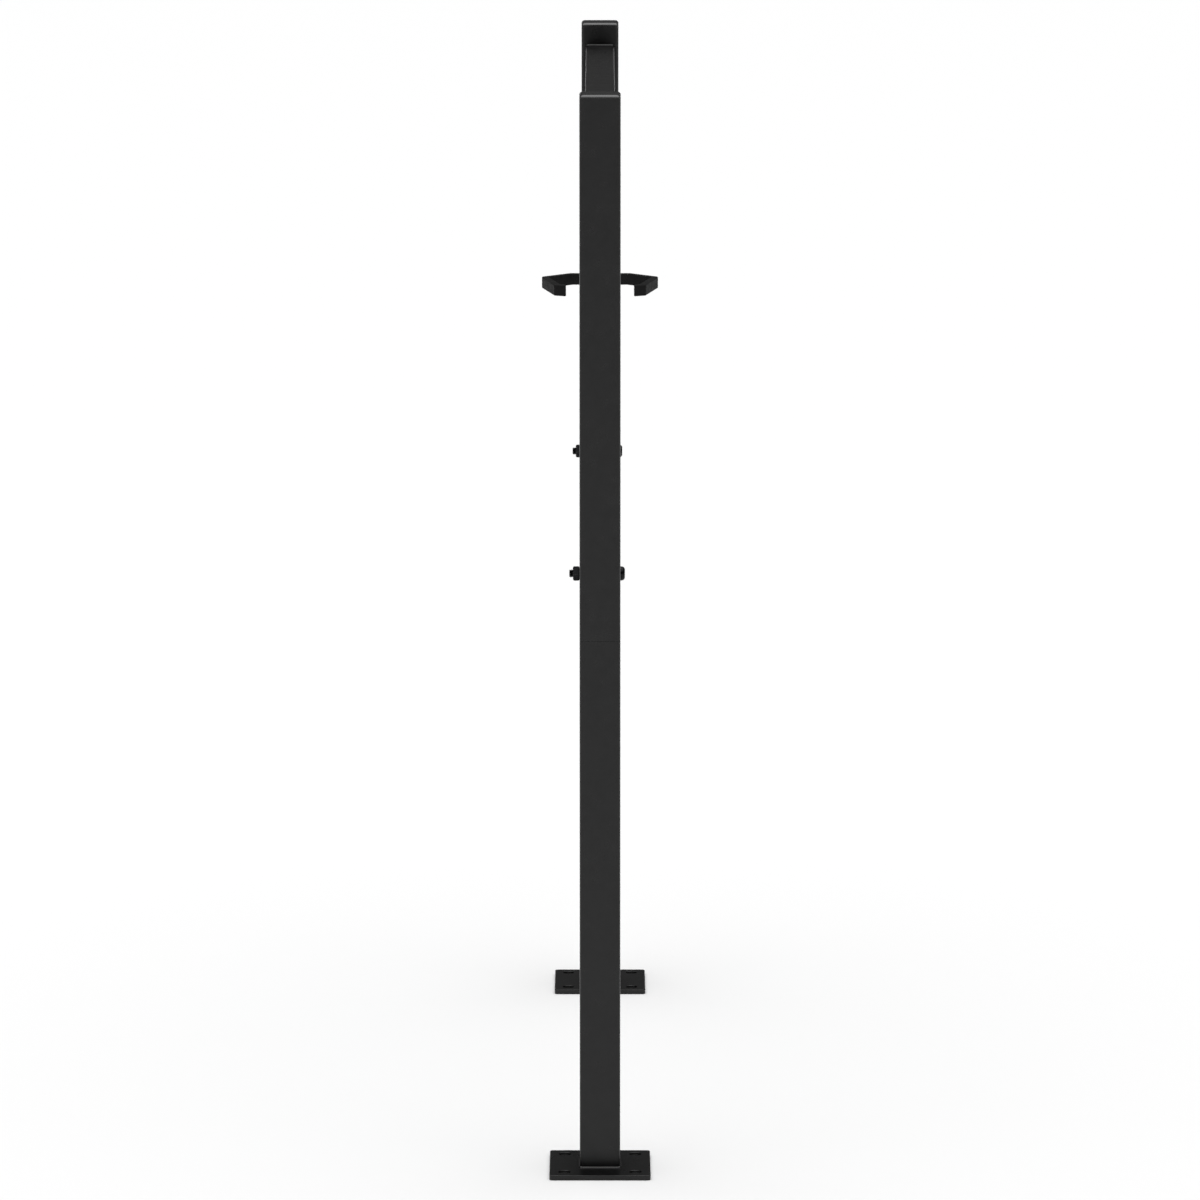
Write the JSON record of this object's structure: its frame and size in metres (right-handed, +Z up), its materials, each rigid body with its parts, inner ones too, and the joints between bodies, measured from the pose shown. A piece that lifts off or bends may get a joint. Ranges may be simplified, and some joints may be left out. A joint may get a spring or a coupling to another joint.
{
  "type": "pool handrail",
  "caption": "Bolt-down pool handrail: square powder-coated posts on base plates, joined by a square top rail, with an open pole cradle on one post.",
  "frame": {"origin": "on the ground, at the midpoint between the two posts", "axes": "+Z up the posts, +Y from the front post to the rear post, +X across the rail"},
  "size_m": [0.1256, 0.9, 1.07],
  "materials": {
    "frame_steel": "fine satin black powder coat",
    "connector_steel": "thin black primer",
    "fastener_steel": "black zinc",
    "rivet_steel": "zinc plated",
    "cap_plastic": "satin moulded black",
    "cradle_plastic": "fine-textured moulded black"
  },
  "bodies": {
    "root": {"front_base_plate": "frame_steel", "front_foot_weld": "frame_steel", "front_lower_post": "frame_steel", "front_upper_post": "frame_steel", "front_rail_weld": "frame_steel", "front_post_connector": "connector_steel", "front_cross_bolt": "fastener_steel", "front_cross_nut": "fastener_steel", "front_post_cap": "cap_plastic", "rear_base_plate": "frame_steel", "rear_foot_weld": "frame_steel", "rear_lower_post": "frame_steel", "rear_upper_post": "frame_steel", "rear_rail_weld": "frame_steel", "rear_post_connector": "connector_steel", "rear_cross_bolt": "fastener_steel", "rear_cross_nut": "fastener_steel", "rear_post_cap": "cap_plastic", "top_rail": "frame_steel", "pole_cradle": "cradle_plastic", "cradle_screws": "fastener_steel", "cradle_rivet_nuts": "rivet_steel"}
  },
  "joints": []
}
